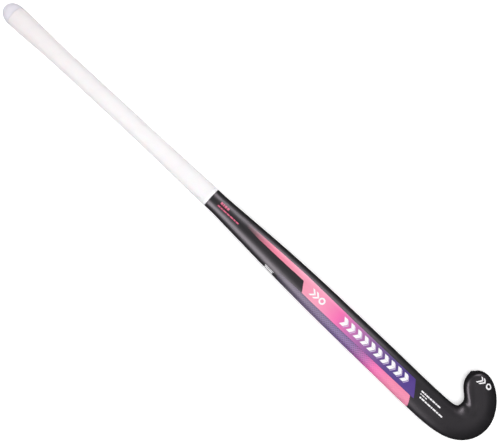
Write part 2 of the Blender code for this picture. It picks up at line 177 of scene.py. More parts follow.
def surface(stations, q, inset=0.0):
    """Points of the stick's surface, moved in by inset. stations has n values, and q has n rows.
    q 0 to 1 is the back from the toe side to the heel side, then come the heel edge up to 1.25,
    the flat side up to 1.75, and the toe edge up to 2."""
    stations = np.asarray(stations, float)
    q = np.mod(np.asarray(q, float), 2.0)
    inset = np.broadcast_to(np.asarray(inset, float), q.shape)
    table = smooth(RIBS, stations)
    straight = stations < HOOK_START
    outer = table[:, 0:2]
    inner = table[:, 2:4]
    outer[straight, 0] = stations[straight]
    inner[straight, 0] = stations[straight]
    edges = smooth(SECTION, stations)
    across = inner - outer
    full = np.linalg.norm(across, axis=1, keepdims=True)
    across = across / full
    height = table[:, 4:5] - 2 * inset
    width = full - 2 * inset
    corner_y = np.maximum(edges[:, 0:1] * full / 2 - inset, SMALLEST_EDGE)
    corner_z = np.maximum(edges[:, 1:2] * table[:, 4:5] / 2 - inset, SMALLEST_EDGE)
    turn = np.cos(math.pi * np.clip(q, 0, 1))
    power = np.where(turn < 0, edges[:, 2:3], edges[:, 3:4])
    v_back = width / 2 + np.sign(turn) * np.abs(turn) ** (2 / power) * width / 2
    up = np.abs(np.sin(math.pi * np.clip(q, 0, 1))) ** (2 / power)
    z_back = corner_z + up * (height - corner_z)
    heel_turn = (q - 1) * 2 * math.pi
    toe_turn = (2 - q) * 2 * math.pi
    v_flat = corner_y + (width - 2 * corner_y) * (q - 1.25) * 2
    v_heel = corner_y * (1 - np.cos(heel_turn))
    v_toe = width - corner_y * (1 - np.cos(toe_turn))
    v = np.select([q <= 1, q <= 1.25, q <= 1.75], [v_back, v_heel, v_flat], v_toe)
    z_heel = corner_z * (1 - np.sin(heel_turn))
    z_toe = corner_z * (1 - np.sin(toe_turn))
    z = np.select([q <= 1, q <= 1.25, q <= 1.75], [z_back, z_heel, 0.0], z_toe)
    flat = outer[:, None, :] + across[:, None, :] * (v + inset)[:, :, None]
    points = np.empty(q.shape + (3,))
    points[..., :2] = flat
    points[..., 2] = face_height(flat[..., 0]) + inset + z
    return points + np.array(BUTT)


def even_q(stations, inset, count):
    """The q of points evenly spaced round the section at each station, from the top of the back."""
    fine = np.linspace(0.5, 2.5, 481)
    rows = np.broadcast_to(fine, (len(stations), len(fine)))
    points = surface(stations, rows, inset)
    legs = np.linalg.norm(np.diff(points, axis=1), axis=2)
    along = np.concatenate([np.zeros((len(stations), 1)), np.cumsum(legs, axis=1)], axis=1)
    goals = np.arange(count) / count
    return np.array([np.interp(goals * line[-1], line, fine) for line in along])


def spaced(start, end, step):
    """Stations from start to end, about step apart."""
    count = max(1, round((end - start) / step))
    return list(np.linspace(start, end, count + 1))


def back_q(stations, y):
    """The q of the places on the back of the shaft that lie y from the handle's axis."""
    table = smooth(RIBS, stations)
    edges = smooth(SECTION, stations)
    half = (table[:, 3] - table[:, 1]) / 2
    v = np.clip((np.asarray(y, float) - table[:, 1] - half) / half, -1, 1)
    power = np.where(v < 0, edges[:, 2], edges[:, 3])
    return np.arccos(np.sign(v) * np.abs(v) ** (power / 2)) / math.pi


def lifted(stations, q, lift):
    """Points of the surface moved out along its normal. stations and q have one value a point."""
    near = 0.0005
    stations = np.asarray(stations, float)
    q = np.asarray(q, float)[:, None]
    point = surface(stations, q)[:, 0]
    along = surface(stations + near, q)[:, 0] - surface(stations - near, q)[:, 0]
    around = surface(stations, q + near)[:, 0] - surface(stations, q - near)[:, 0]
    normal = np.cross(around, along)
    normal /= np.linalg.norm(normal, axis=1, keepdims=True)
    return point + normal * np.asarray(lift).reshape(-1, 1)


# ---------------------------------------------------------------- meshes
def new_piece(name, shape, material, node=(), sharp=35):
    """A mesh piece that rides on the stick. shape is its points and faces."""
    points, faces = shape
    mesh = bpy.data.meshes.new(name)
    mesh.from_pydata([tuple(p) for p in points], [], faces)
    mesh_data = bmesh.new()
    mesh_data.from_mesh(mesh)
    bmesh.ops.recalc_face_normals(mesh_data, faces=mesh_data.faces)
    mesh_data.to_mesh(mesh)
    mesh_data.free()
    mesh.shade_smooth()
    mesh.set_sharp_from_angle(angle=math.radians(sharp))
    mesh.materials.append(material)
    piece = bpy.data.objects.new(name, mesh)
    bpy.context.scene.collection.objects.link(piece)
    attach(piece, "root")
    if node:
        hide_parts(*node)


def ring_faces(rows, count):
    """Quads between rings of count points that follow each other."""
    faces = []
    for r in range(rows - 1):
        base = r * count
        for i in range(count):
            j = (i + 1) % count
            faces.append((base + i, base + j, base + count + j, base + count + i))
    return faces


def tube(rings, closed=False):
    """Points and faces of a skin through rings. It is closed at both ends, or joins up as a loop."""
    rows = len(rings)
    count = len(rings[0])
    points = [p for ring in rings for p in ring]
    faces = ring_faces(rows, count)
    if closed:
        last = (rows - 1) * count
        for i in range(count):
            j = (i + 1) % count
            faces.append((last + i, last + j, j, i))
        return points, faces
    for row in (0, rows - 1):
        first = row * count
        points.append(np.mean(points[first:first + count], axis=0))
        hub = len(points) - 1
        faces += [(first + i, first + (i + 1) % count, hub) for i in range(count)]
    return points, faces


def joined(shapes):
    """One shape out of several."""
    points = []
    faces = []
    for more_points, more_faces in shapes:
        base = len(points)
        points += list(more_points)
        faces += [tuple(i + base for i in face) for face in more_faces]
    return points, faces


# ---------------------------------------------------------------- materials
def from_srgb(colour):
    """Linear values of an sRGB colour given as 0 to 255, none of it near black."""
    return tuple(((c / 255 + 0.055) / 1.055) ** 2.4 for c in colour)


class Look:
    """Builds one node material."""

    def __init__(self, name):
        self.material = bpy.data.materials.new(name)
        self.material.use_nodes = True
        self.tree = self.material.node_tree
        self.shader = self.tree.nodes["Principled BSDF"]
        self.place = self.tree.nodes.new("ShaderNodeTexCoord").outputs["Object"]

    def node(self, kind, **values):
        """Add a node and set its properties."""
        item = self.tree.nodes.new(kind)
        for key, value in values.items():
            setattr(item, key, value)
        return item

    def link(self, out, into):
        self.tree.links.new(out, into)

    def feed(self, socket, value):
        """Put a link or a constant into a socket."""
        if isinstance(value, bpy.types.NodeSocket):
            self.link(value, socket)
        elif isinstance(value, tuple) and len(value) == 3 and len(socket.default_value) == 4:
            socket.default_value = (*value, 1)
        else:
            socket.default_value = value

    def stretched(self, scale, turn=(0, 0, 0)):
        """The object's coordinates, turned and scaled."""
        item = self.node("ShaderNodeMapping")
        item.inputs["Scale"].default_value = scale
        item.inputs["Rotation"].default_value = turn
        self.link(self.place, item.inputs["Vector"])
        return item.outputs["Vector"]

    def noise(self, scale, detail=3.0, rough=0.5, vector=None):
        item = self.node("ShaderNodeTexNoise")
        item.inputs["Scale"].default_value = scale
        item.inputs["Detail"].default_value = detail
        item.inputs["Roughness"].default_value = rough
        self.link(vector or self.place, item.inputs["Vector"])
        return item.outputs["Fac"]

    def cells(self, scale):
        """Distance from the middle of the nearest small cell."""
        item = self.node("ShaderNodeTexVoronoi")
        item.inputs["Scale"].default_value = scale
        self.link(self.place, item.inputs["Vector"])
        return item.outputs["Distance"]

    def waves(self, scale, turn):
        """Fine parallel bands, turned by turn radians about each axis."""
        item = self.node("ShaderNodeTexWave", bands_direction="X")
        item.inputs["Scale"].default_value = scale
        self.link(self.stretched((1, 1, 1), turn), item.inputs["Vector"])
        return item.outputs["Fac"]

    def woven(self, scale, lean):
        """Two sets of bands that cross, turned lean radians one way and the other."""
        one = self.waves(scale, (0, 0, lean))
        two = self.waves(scale, (0, 0, -lean))
        return self.maths("MULTIPLY", one, two)

    def span(self, value, low, high, to_low=0.0, to_high=1.0):
        """Map low to high onto to_low to to_high, and clamp the result."""
        item = self.node("ShaderNodeMapRange")
        self.link(value, item.inputs["Value"])
        item.inputs["From Min"].default_value = low
        item.inputs["From Max"].default_value = high
        item.inputs["To Min"].default_value = to_low
        item.inputs["To Max"].default_value = to_high
        return item.outputs["Result"]

    def varied(self, source, low, high):
        """A value that a noise moves between low and high."""
        return self.span(source, 0.3, 0.7, low, high)

    def maths(self, kind, a, b):
        item = self.node("ShaderNodeMath", operation=kind)
        self.feed(item.inputs[0], a)
        self.feed(item.inputs[1], b)
        return item.outputs[0]

    def mix(self, fac, a, b):
        item = self.node("ShaderNodeMix", data_type="RGBA")
        self.feed(item.inputs["Factor"], fac)
        self.feed(item.inputs["A"], a)
        self.feed(item.inputs["B"], b)
        return item.outputs["Result"]

    def axis(self, letter):
        item = self.node("ShaderNodeSeparateXYZ")
        self.link(self.place, item.inputs[0])
        return item.outputs[letter]

    def ramp(self, value, stops):
        """A colour ramp through (position 0 to 1, linear colour)."""
        item = self.node("ShaderNodeValToRGB")
        self.link(value, item.inputs["Fac"])
        band = item.color_ramp
        while len(band.elements) < len(stops):
            band.elements.new(0.5)
        for element, (at, colour) in zip(band.elements, stops):
            element.position = at
            element.color = (*colour, 1)
        return item.outputs["Color"]

    def bump(self, height, distance, strength=1.0, under=None):
        item = self.node("ShaderNodeBump")
        item.inputs["Strength"].default_value = strength
        item.inputs["Distance"].default_value = distance
        self.link(height, item.inputs["Height"])
        if under is not None:
            self.link(under, item.inputs["Normal"])
        return item.outputs["Normal"]

    def finish(self, colour, roughness, normal=None, **more):
        """Feed the shader and hand over the material."""
        self.feed(self.shader.inputs["Base Color"], colour)
        self.feed(self.shader.inputs["Roughness"], roughness)
        if normal is not None:
            self.link(normal, self.shader.inputs["Normal"])
        for key, value in more.items():
            self.feed(self.shader.inputs[key.replace("_", " ")], value)
        return self.material


def lacquer_look():
    """Satin black lacquer over the laminate: fine orange peel, a ghost of the weave, faint scuffs."""
    look = Look("satin_black_lacquer")
    cloud = look.noise(9.0, 4.0)
    speck = look.cells(900.0)
    colour = look.mix(cloud, (0.0090, 0.0086, 0.0098), (0.0135, 0.0130, 0.0146))
    weave = look.woven(150.0, 0.9)
    colour = look.mix(look.span(weave, 0.0, 1.0, 0.0, 0.22), colour, (0.026, 0.025, 0.029))
    scuffs = look.noise(60.0, 6.0, 0.65, look.stretched((0.12, 1, 1)))
    scuffed = look.span(scuffs, 0.55, 0.75, 0.0, 0.10)
    roughness = look.maths("ADD", look.varied(cloud, 0.36, 0.42), scuffed)
    peel = look.bump(look.noise(700.0, 2.0), 0.00003, 0.5)
    peel = look.bump(speck, 0.00002, 0.25, peel)
    return look.finish(colour, roughness, peel, Specular_IOR_Level=0.42)


# How bright the print is next to its sRGB stops
PRINT_GAIN = 0.80


def stations_span(look, start, end, to_start=0.0, to_end=1.0):
    """A value that runs from to_start to to_end between two stations of the shaft."""
    return look.span(look.axis("X"), BUTT.x + start, BUTT.x + end, to_start, to_end)


def print_ramp(look, stops):
    """A ramp along the stick through (station, sRGB colour)."""
    first = stops[0][0]
    last = stops[-1][0]
    scaled = []
    for at, colour in stops:
        linear = tuple(c * PRINT_GAIN for c in from_srgb(colour))
        scaled.append(((at - first) / (last - first), linear))
    return look.ramp(stations_span(look, first, last), scaled)


def panel_look():
    """The printed panel: it fades in from black, then runs from pink into violet."""
    look = Look("printed_panel")
    stops = (
        # The first two stops are partly the print fading in from black and partly painted highlight,
        # lightened for the sheen across the shaft there.
        (0.469, (35, 32, 35)),
        (0.485, (115, 70, 78)),
        (0.507, (220, 105, 134)),
        (0.525, (250, 122, 155)),
        (0.570, (255, 152, 180)),
        (0.615, (255, 155, 188)),
        (0.650, (255, 105, 182)),
        (0.675, (200, 90, 175)),
        (0.715, (128, 76, 154)),
        (0.750, (85, 60, 140)),
        (0.790, (80, 50, 145)),
    )
    colour = print_ramp(look, stops)
    cloud = look.noise(14.0, 3.0)
    colour = look.mix(look.span(cloud, 0.35, 0.65, 0.0, 0.05), colour, (0.9, 0.8, 0.9))
    roughness = look.varied(look.noise(40.0, 4.0), 0.33, 0.42)
    peel = look.bump(look.noise(700.0, 2.0), 0.00003, 0.4)
    return look.finish(colour, roughness, peel, Specular_IOR_Level=0.35)


def band_look():
    """The printed band over the heel edge: the weave shows through its tint."""
    look = Look("printed_band")
    stops = (
        # The grey first stops are partly the print's dark start and partly painted highlight, the sheen
        # of the heel-side softbox on the shaft.
        (0.548, (45, 43, 47)),
        (0.572, (92, 85, 98)),
        (0.605, (115, 96, 133)),
        (0.630, (128, 107, 150)),
        (0.660, (122, 96, 158)),
        (0.690, (138, 91, 168)),
        (0.715, (200, 94, 182)),
        (0.735, (255, 107, 186)),
        (0.768, (255, 136, 177)),
        (0.800, (255, 145, 181)),
    )
    colour = print_ramp(look, stops)
    one = look.waves(130.0, (0, 0.45, 0.66))
    two = look.waves(130.0, (0, -0.45, -0.9))
    weave = look.maths("ADD", look.maths("MULTIPLY", one, 0.5), look.maths("MULTIPLY", one, two))
    fade = stations_span(look, 0.700, 0.740, 0.80, 0.08)
    shade = look.maths("MULTIPLY", look.span(weave, 0.25, 1.05), fade)
    colour = look.mix(shade, colour, (0.055, 0.045, 0.085))
    duller = look.maths("MULTIPLY", stations_span(look, 0.560, 0.610), 0.13)
    roughness = look.maths("ADD", look.varied(look.noise(40.0, 4.0), 0.34, 0.40), duller)
    peel = look.bump(weave, 0.00004, 0.3)
    return look.finish(colour, roughness, peel, Specular_IOR_Level=0.31)


def ink_look(name, colour, other):
    """Thick printed ink: slightly uneven, with a fine grain."""
    look = Look(name)
    grain = look.noise(420.0, 3.0)
    tint = look.mix(look.span(grain, 0.35, 0.65), colour, other)
    roughness = look.varied(look.noise(90.0, 3.0), 0.36, 0.48)
    return look.finish(tint, roughness, look.bump(grain, 0.00002, 0.4))


def grip_look():
    """Soft polyurethane: near white with a breath of pink, pebbled, a little dirtier in faint streaks.
    """
    look = Look("grip_polyurethane")
    cloud = look.noise(16.0, 4.0)
    grain = look.cells(1500.0)
    streak = look.noise(90.0, 4.0, 0.6, look.stretched((0.5, 1, 1)))
    colour = look.mix(look.span(cloud, 0.3, 0.7), (0.800, 0.775, 0.787), (0.828, 0.812, 0.818))
    colour = look.mix(look.span(streak, 0.52, 0.8, 0.0, 0.35), colour, (0.775, 0.74, 0.75))
    by_cap = stations_span(look, 0.030, 0.200, 0.9, 0.0)
    colour = look.mix(by_cap, colour, (0.770, 0.725, 0.730))
    roughness = look.varied(cloud, 0.55, 0.66)
    normal = look.bump(grain, 0.00006, 0.5)
    normal = look.bump(look.noise(260.0, 4.0), 0.00012, 0.5, normal)
    return look.finish(
        colour, roughness, normal, Specular_IOR_Level=0.16,
        Subsurface_Weight=0.12, Subsurface_Scale=0.002,
    )


def cap_look():
    """Moulded lavender rubber: faint mottling, a fine matt grain, and painted shade towards the dome's
    end.
    """
    look = Look("cap_rubber")
    cloud = look.noise(55.0, 4.0)
    fine = look.noise(1400.0, 2.0)
    colour = look.mix(look.span(cloud, 0.3, 0.7), (0.680, 0.662, 0.728), (0.725, 0.706, 0.762))
    # Painted shade: a darker, deeper lavender over the end of the dome.
    tip = stations_span(look, 0.0, 0.006, 0.45, 0.0)
    colour = look.mix(tip, colour, (0.56, 0.53, 0.65))
    roughness = look.varied(cloud, 0.44, 0.54)
    normal = look.bump(fine, 0.00004, 0.4)
    return look.finish(
        colour, roughness, normal, Specular_IOR_Level=0.4,
        Subsurface_Weight=0.1, Subsurface_Scale=0.002,
    )


def tape_look():
    """Glossier cloth-backed tape: fine straight threads and a cool white."""
    look = Look("finishing_tape")
    threads = look.waves(900.0, (0, 0, 0))
    grain = look.noise(350.0, 3.0)
    colour = look.mix(look.span(grain, 0.35, 0.65), (0.825, 0.81, 0.84), (0.86, 0.85, 0.87))
    roughness = look.varied(grain, 0.36, 0.46)
    return look.finish(colour, roughness, look.bump(threads, 0.00002, 0.3))


def foam_look():
    """Rigid foam: small cells, darker in the middle, with paler walls."""
    look = Look("rigid_foam")
    cell = look.cells(700.0)
    colour = look.mix(look.span(cell, 0.0, 0.6), (0.50, 0.41, 0.22), (0.72, 0.63, 0.38))
    roughness = look.span(cell, 0.0, 0.6, 0.95, 0.8)
    return look.finish(colour, roughness, look.bump(cell, 0.0004, 0.6))


def laminate_look():
    """Bare carbon laminate under clear resin."""
    look = Look("bare_laminate")
    weave = look.woven(260.0, 0.785)
    resin = look.noise(30.0, 4.0)
    colour = look.mix(weave, (0.012, 0.012, 0.013), (0.06, 0.06, 0.065))
    return look.finish(colour, look.varied(resin, 0.35, 0.55), look.bump(weave, 0.0001, 0.5))


def silicone_look():
    """Blue-grey silicone with a soft mottle."""
    look = Look("silicone")
    cloud = look.noise(40.0, 4.0)
    colour = look.mix(cloud, (0.16, 0.30, 0.38), (0.22, 0.38, 0.46))
    normal = look.bump(look.noise(600.0), 0.0001, 0.4)
    return look.finish(colour, look.varied(cloud, 0.4, 0.55), normal)


def plug_look():
    """Moulded black plastic with a matt grain."""
    look = Look("plug_plastic")
    grain = look.noise(900.0, 3.0)
    colour = look.mix(look.noise(50.0), (0.010, 0.010, 0.011), (0.022, 0.022, 0.024))
    return look.finish(colour, look.varied(grain, 0.5, 0.65), look.bump(grain, 0.0001, 0.5))


def adhesive_look():
    """Double-sided paper tape with fibres across the stick."""
    look = Look("adhesive_tape")
    fibres = look.noise(300.0, 5.0, 0.6, look.stretched((1, 0.1, 0.1)))
    colour = look.mix(look.span(fibres, 0.3, 0.7), (0.62, 0.54, 0.36), (0.72, 0.66, 0.50))
    return look.finish(colour, look.varied(fibres, 0.6, 0.75), look.bump(fibres, 0.0001, 0.5))


# ---------------------------------------------------------------- the body of the stick
# The moulded shell: its wall, which thickens along WALL_TAPER, and its hollow
WALL = 0.0030
HEAD_WALL = 0.0036
WALL_TAPER = (0.70, 0.85)
SHELL_START = 0.012
CAVITY_END = HOOK_START + RIB_STEP * 12

# The wrap on the handle, and how far the shell lies below the finished surface under it
GAP = 0.0003
GRIP_START = 0.0208
GRIP_END = 0.4012
TAPE_END = 0.4056
BAND_THICK = 0.0018
BAND_PITCH = 0.0263
BAND_STEP_UP = 0.00015
ADHESIVE_THICK = 0.0003
WRAP_DEPTH = BAND_THICK + ADHESIVE_THICK + 3 * GAP
WRAP_TAPER = 0.372
WRAP_DEPTH_AT_TAPE = 0.0006
SKIRT_THICK = 0.0012
SKIRT_END = 0.036
SKIRT_DEPTH = BAND_THICK + SKIRT_THICK + 2 * GAP

# The butt end
DOME_LENGTH = 0.018
PLUG_START = 0.0067

# Points round a ring of each piece
SHELL_ROUND = 144
TAPE_ROUND = 120
CAP_ROUND = 120

# Distances between the shell's rings: under the grip, where the wrap tapers, on the bare shaft, round
# the hook, and in the hollow of the shaft and of the head
HIDDEN_STEP = 0.012
TAPER_STEP = 0.004
SHAFT_STEP = 0.003
HOOK_STEP = RIB_STEP / 10
HOLLOW_STEP = 0.020
HEAD_HOLLOW_STEP = RIB_STEP / 2

# The first full ring past the tape, and the stations of the two parts of the hollow
BARE_START = 0.410
HOLLOW_SHAFT = (0.045, 0.785)
HOLLOW_HEAD = (0.800, CAVITY_END)

# The toe's end, past its last rib
TOE_ROUNDING = 0.0009
TOE_RINGS = 8

# The shallow scoop in the back, along the inner rim of the crook and the toe: where it deepens, where
# it runs out, and its place and reach round the section as q
SCOOP_DEPTH = 0.0017
SCOOP_START = (0.880, 0.935)
SCOOP_FADE = (0.958, 0.996)
SCOOP_SHIFT = (0.900, 0.960)
SCOOP_Q = (0.35, 0.41)
SCOOP_REACH = 0.085


def eased(between, at):
    """0 before the first of two stations, 1 after the second, and a soft step between them."""
    start, end = between
    return ease((at - start) / (end - start))


def wrap_depth(stations):
    """How far the bare shell lies below the finished surface, under the cap's skirt and the grip."""
    stations = np.asarray(stations, float)
    taper = ease((stations - WRAP_TAPER) / (TAPE_END - WRAP_TAPER))
    depth = WRAP_DEPTH + (WRAP_DEPTH_AT_TAPE - WRAP_DEPTH) * taper
    depth = np.where(stations < SKIRT_END + GAP, SKIRT_DEPTH, depth)
    return np.where(stations > TAPE_END + GAP, 0.0, depth)


def rings_at(stations, insets, count):
    """Rings round the stick, with one inset a station."""
    insets = np.asarray(insets, float)[:, None]
    return list(surface(stations, even_q(stations, insets, count), insets))


def scoop(stations, q):
    """Depth of the scoop at the stations, and at the q of each one's row."""
    stations = np.asarray(stations, float)[:, None]
    along = eased(SCOOP_START, stations) * (1 - eased(SCOOP_FADE, stations))
    middle = SCOOP_Q[0] + (SCOOP_Q[1] - SCOOP_Q[0]) * eased(SCOOP_SHIFT, stations)
    return SCOOP_DEPTH * along * np.exp(-((np.mod(q, 2.0) - middle) / SCOOP_REACH) ** 2)


def rounded_end(rings):
    """Ever smaller rings past the last one, which round the toe's end off."""
    last = rings[-1]
    middle = last.mean(axis=0)
    tip = middle - rings[-3].mean(axis=0)
    tip /= np.linalg.norm(tip)
    ends = []
    for k in range(1, TOE_RINGS + 1):
        turn = math.pi / 2 * k / (TOE_RINGS + 0.3)  # the last ring stays open a little
        shrunk = (last - middle) * math.cos(turn) ** 0.7
        ends.append(middle + shrunk + tip * TOE_ROUNDING * math.sin(turn))
    return ends


def shell_outside():
    """Rings of the shell's outside, from its open end to the toe."""
    stations = [SHELL_START] + spaced(SKIRT_END + 0.0005, WRAP_TAPER, HIDDEN_STEP)
    stations += spaced(WRAP_TAPER + TAPER_STEP, TAPE_END, TAPER_STEP) + [TAPE_END + 2 * GAP]
    stations += spaced(BARE_START, HOOK_START - SHAFT_STEP, SHAFT_STEP)
    stations += spaced(HOOK_START, TOE_STATION, HOOK_STEP)
    depth = wrap_depth(stations)[:, None]
    q = even_q(stations, depth, SHELL_ROUND)
    rings = list(surface(stations, q, depth + scoop(stations, q)))
    return rings + rounded_end(rings)


def shell_inside():
    """Rings of the shell's hollow, from its open end to where the wall closes in the toe."""
    shaft = spaced(*HOLLOW_SHAFT, HOLLOW_STEP)
    head = spaced(*HOLLOW_HEAD, HEAD_HOLLOW_STEP)
    stations = np.array([SHELL_START] + shaft + head)
    wall = WALL + (HEAD_WALL - WALL) * eased(WALL_TAPER, stations)
    under = np.maximum(wrap_depth(stations), np.where(stations > TAPE_END, 0.0, WRAP_DEPTH))
    return rings_at(stations, under + wall, SHELL_ROUND)


def build_shell(material):
    """The moulded body of the stick, hollow and open at the butt."""
    shape = tube(shell_outside()[::-1] + shell_inside())
    new_piece("stick_shell", shape, material, ("composite_shell",))


# ---------------------------------------------------------------- the handle's wrap
def handle_points(stations, turn, insets):
    """Points on the oval handle, all at one angle round it, moved in by insets."""
    table = smooth(RIBS, stations)
    width = table[:, 3] - table[:, 1]
    height = table[:, 4]
    across = width / 2 * (1 - np.cos(turn)) + insets * np.cos(turn)
    up = height / 2 * (1 + np.sin(turn)) - insets * np.sin(turn)
    x = np.asarray(stations, float)
    points = np.stack([x, table[:, 1] + across, face_height(x) + up], axis=1)
    return points + np.array(BUTT)


# The strip: its steps in a turn, where its points lie across it (closer together at the edges), and
# how its two edges roll down into the seam
GRIP_STEPS = 60
GRIP_SHARES = (0.0, 0.010, 0.025, 0.05, 0.10, 0.2, 0.35, 0.5, 0.65, 0.8, 0.90, 0.95, 0.975, 0.990, 1.0)
SEAM_DEPTH = 0.00022
SEAM_REACH = 0.0015
SEAM_GAP = 0.00003
FAR_EDGE_ROLL = 0.75


def seam_roll(at, left, right):
    """How far the strip rolls down at stations between its edges, as a share of SEAM_DEPTH."""
    fall = SEAM_REACH / 2.2  # fades to a ninth over SEAM_REACH
    return np.exp(-(at - left) / fall) + FAR_EDGE_ROLL * np.exp(-(right - at) / fall)


def build_grip(material):
    """The grip band, one strip wound in a spiral, with rolled edges that leave a fine seam."""
    turns = (GRIP_END - GRIP_START) / BAND_PITCH + 1
    shares = np.array(GRIP_SHARES)
    rings = []
    for k in range(2, math.floor(turns * GRIP_STEPS) - 1):
        turn = 2 * math.pi * k / GRIP_STEPS
        edge = GRIP_START + BAND_PITCH * k / GRIP_STEPS
        left = max(GRIP_START, edge - BAND_PITCH + SEAM_GAP)
        right = min(edge, GRIP_END)
        at = left + (right - left) * shares
        proud = BAND_STEP_UP * shares - SEAM_DEPTH * seam_roll(at, left, right)
        under = np.maximum([right, left], SKIRT_END + 2 * GAP)
        low = np.minimum(BAND_THICK, wrap_depth(under) - GAP)
        top = handle_points(at, turn, -proud)
        base = handle_points([right, left], turn, low)
        rings.append(np.concatenate([top, base]))
    new_piece("grip_wrap", tube(rings), material, ("grip_band",), 50)


TAPE_ROWS = 9
TAPE_EDGE_DROP = 0.00022


def build_tape(material):
    """The finishing tape, whose edges drop softly."""
    stations = np.linspace(GRIP_END + SEAM_GAP, TAPE_END, TAPE_ROWS)
    drop = TAPE_EDGE_DROP * np.abs(np.linspace(-1, 1, TAPE_ROWS)) ** 6
    outside = rings_at(stations, drop, TAPE_ROUND)
    inside = rings_at(stations, wrap_depth(stations) - GAP, TAPE_ROUND)
    shape = tube(outside + inside[::-1], closed=True)
    new_piece("finishing_tape_wrap", shape, material, ("finishing_tape",))


# The rings moulded in the dome: where they lie as a share of its radius, their width as one, and how
# far they go in and along
CAP_GROOVES = (0.56, 0.79)
GROOVE_WIDTH = 0.020
GROOVE_IN = 0.016
GROOVE_ALONG = 0.00032
COLLAR_CHAMFER = 0.0004
POCKET_MIDDLE = 0.020


def build_cap(material):
    """The rubber end cap: a dome with fine moulded rings, a collar and a skirt under the grip."""
    rings = rings_at([SKIRT_END, GRIP_START], [BAND_THICK + GAP] * 2, CAP_ROUND)
    # the collar has a small chamfer, and a lip of no thickness over it
    stations = [GRIP_START - 2 * GAP, GRIP_START - 3 * GAP, GRIP_START - GAP, DOME_LENGTH]
    rings += rings_at(stations, [COLLAR_CHAMFER, 0.0, 0.0, 0.0], CAP_ROUND)
    full = rings[-1]
    middle = full.mean(axis=0)
    for degrees in range(88, 0, -2):
        turn = math.radians(degrees)
        share = math.sin(turn)
        groove = sum(math.exp(-((share - at) / GROOVE_WIDTH) ** 2) for at in CAP_GROOVES)
        dome = middle + (full - middle) * share * (1 - GROOVE_IN * groove)
        dome[:, 0] = BUTT.x + DOME_LENGTH * (1 - math.cos(turn)) + GROOVE_ALONG * groove
        rings.append(dome)
    pocket = BAND_THICK + GAP + SKIRT_THICK
    inside = rings_at([SKIRT_END, POCKET_MIDDLE, PLUG_START - GAP], [pocket] * 3, CAP_ROUND)
    inside[-1][:, 0] = BUTT.x + PLUG_START - GAP
    shape = tube(rings[::-1] + inside)
    new_piece("end_cap", shape, material, ("butt_cap",))


# ---------------------------------------------------------------- the artwork
# Films lie just off the lacquer, and marks printed over a film lie higher
INK_THICK = 0.00005
INK_LIFT = 0.00006
MARK_LIFT = INK_LIFT * 2.6
TOE_MARK_LIFT = INK_LIFT * 2
FILM_STEP = 0.0016
FACE_FILM_STEP = 0.0024

# Corners of the artwork on the back, as (station, y), and the stations that its films run between
PANEL_TOP = (
    (0.4690, 0.0066), (0.4957, 0.0072), (0.5349, 0.0080), (0.5797, 0.0086), (0.6048, 0.0079),
    (0.6720, 0.0061), (0.7314, 0.0051), (0.7916, 0.0041), (0.8084, -0.0179),
)
PANEL_LOW = (
    (0.4690, 0.0020), (0.4957, 0.0004), (0.5347, -0.0002), (0.5801, -0.0002), (0.5897, -0.0144),
    (0.6047, -0.0150), (0.6718, -0.0161), (0.7396, -0.0170), (0.8084, -0.0179),
)
BAND_TOP = (
    (0.5480, -0.0142), (0.5897, -0.0146), (0.6047, -0.0152), (0.6718, -0.0163), (0.7396, -0.0172),
    (0.8012, -0.0180), (0.8118, -0.0325),
)
PANEL_SPAN = (0.4690, 0.8078)
PANEL_COLUMNS = 24
BAND_SPAN = (0.5480, 0.8110)
BAND_COLUMNS = 26
BAND_END_Q = 1.06

# The films on the flat side: the stations and the q that they run between
FACE_PANEL = ((0.600, 0.800), (1.36, 1.64))
FACE_BAND = ((0.560, 0.790), (1.19, 1.33))
FACE_COLUMNS = 8

# The row of chevrons along the panel, each with a thin edge ahead of it
CHEVRON_COUNT = 10
CHEVRON_START = 0.6562
CHEVRON_PITCH = 0.01292
CHEVRON_Y = -0.0042
CHEVRON_DRIFT = -0.00004
CHEVRON_THICK = 0.0062
CHEVRON_REACH = 0.0046
CHEVRON_RISE = 0.0061
CHEVRON_PARTING = 0.0001
EDGE_AHEAD = 0.0070
EDGE_DROP = 0.0006
EDGE_THICK = 0.0012

# The emblem on the panel: a ring's centre and its two radii, then two chevrons' stations, y and sizes
PANEL_RING = ((0.6182, -0.0040), 0.0050, 0.0026)
EMBLEM_CHEVRONS = (
    (0.5970, -0.0038, 0.0034, 0.0056, 0.0052),
    (0.6036, -0.0038, 0.0034, 0.0056, 0.0052),
)

# Rows of dashes: station, y, height, gap, then the length of each dash
SPEC_ROWS = (
    (0.8094, -0.0024, 0.0021, 0.0009, (0.0050, 0.0030, 0.0062, 0.0038, 0.0054, 0.0030, 0.0058)),
    (0.8104, -0.0062, 0.0014, 0.0012, (0.0024, 0.0046, 0.0034)),
    (0.8130, -0.0105, 0.0021, 0.0010, (0.0030, 0.0054, 0.0040, 0.0062, 0.0030, 0.0058, 0.0034, 0.0068)),
)
MODEL_ROWS = (
    (0.4215, 0.0022, 0.0034, 0.0010, (0.0034, 0.0020, 0.0034, 0.0034)),
    (0.4205, -0.0034, 0.0018, 0.0010, (0.0045, 0.0034, 0.0062, 0.0048, 0.0056, 0.0034, 0.0050)),
)

# The three short bars on the heel side: corners as (station, q), in order round each, and columns
EDGE_MARK = (
    (((0.5254, 0.806), (0.5414, 0.806), (0.5420, 0.784), (0.5248, 0.784)), 3),
    (((0.5264, 0.872), (0.5406, 0.872), (0.5406, 0.822), (0.5264, 0.822)), 4),
    (((0.5254, 0.918), (0.5414, 0.918), (0.5420, 0.889), (0.5248, 0.889)), 3),
)

